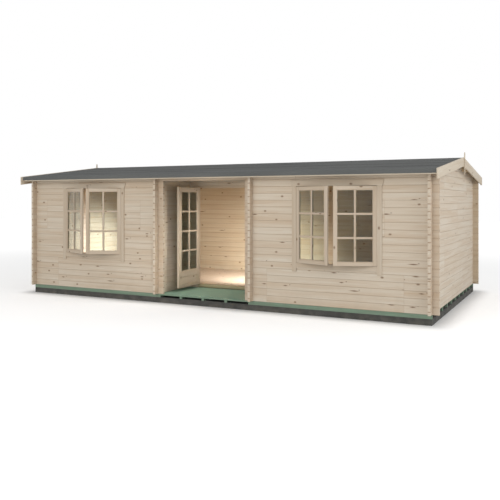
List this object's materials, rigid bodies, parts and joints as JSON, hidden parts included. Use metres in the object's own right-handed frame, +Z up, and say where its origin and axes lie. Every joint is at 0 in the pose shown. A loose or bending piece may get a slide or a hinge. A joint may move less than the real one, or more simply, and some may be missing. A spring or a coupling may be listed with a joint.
{
  "type": "log cabin",
  "caption": "Long log cabin with a low apex roof, a recessed centre porch with glazed double doors that swing, and casement windows standing ajar on both sides.",
  "frame": {"origin": "on the ground, under the middle of the house", "axes": "+X along the house to the right as seen from the porch, -Y towards the front, +Z up"},
  "size_m": [8.2556, 4.6669, 2.709],
  "materials": {
    "logs": "matte",
    "cross_logs": "matte",
    "joinery": "matte",
    "trim": "matte",
    "roof_timber": "matte",
    "floor": "matte",
    "treated_timber": "matte",
    "deck": "matte",
    "plinth": "matte",
    "felt": "matte",
    "glass": "gloss",
    "hinges": "satin"
  },
  "bodies": {
    "house": {"plinth_front": "plinth", "plinth_back": "plinth", "plinth_sides": "plinth", "plinth_cross": "plinth", "left_joists": "treated_timber", "right_joists": "treated_timber", "long_joists": "treated_timber", "porch_joists": "treated_timber", "porch_beams": "treated_timber", "porch_deck": "deck", "left_floor": "floor", "right_floor": "floor", "main_floor": "floor", "front_wall_left": "logs", "front_wall_right": "logs", "front_top_log": "logs", "back_wall": "logs", "left_gable": "cross_logs", "right_gable": "cross_logs", "porch_wall_left": "cross_logs", "porch_wall_right": "cross_logs", "porch_back_wall": "logs", "logs_over_door": "logs", "door_frame": "joinery", "door_frame_hinges": "hinges", "left_window_frame": "joinery", "left_window_trim": "trim", "left_window_sashes": "joinery", "left_window_glass": "glass", "right_window_frame": "joinery", "right_window_trim": "trim", "right_window_sashes": "joinery", "right_window_glass": "glass", "purlins": "roof_timber", "roof_boards": "roof_timber", "roof_felt": "felt", "eave_boards": "trim", "bargeboards": "trim", "finials": "trim"},
    "left_leaf": {"left_door": "joinery", "left_door_glass": "glass", "left_door_hinges": "hinges"},
    "right_leaf": {"right_door": "joinery", "right_door_glass": "glass", "right_door_hinges": "hinges"}
  },
  "joints": [
    {"name": "left_door_hinge", "type": "hinge", "parent": "house", "child": "left_leaf", "pos_m": [-0.753, -0.9984, 1.173], "axis": [0, 0, -1], "range_deg": [-90, 10]},
    {"name": "right_door_hinge", "type": "hinge", "parent": "house", "child": "right_leaf", "pos_m": [0.753, -0.9984, 1.173], "axis": [0, 0, 1], "range_deg": [-90, 10]}
  ]
}
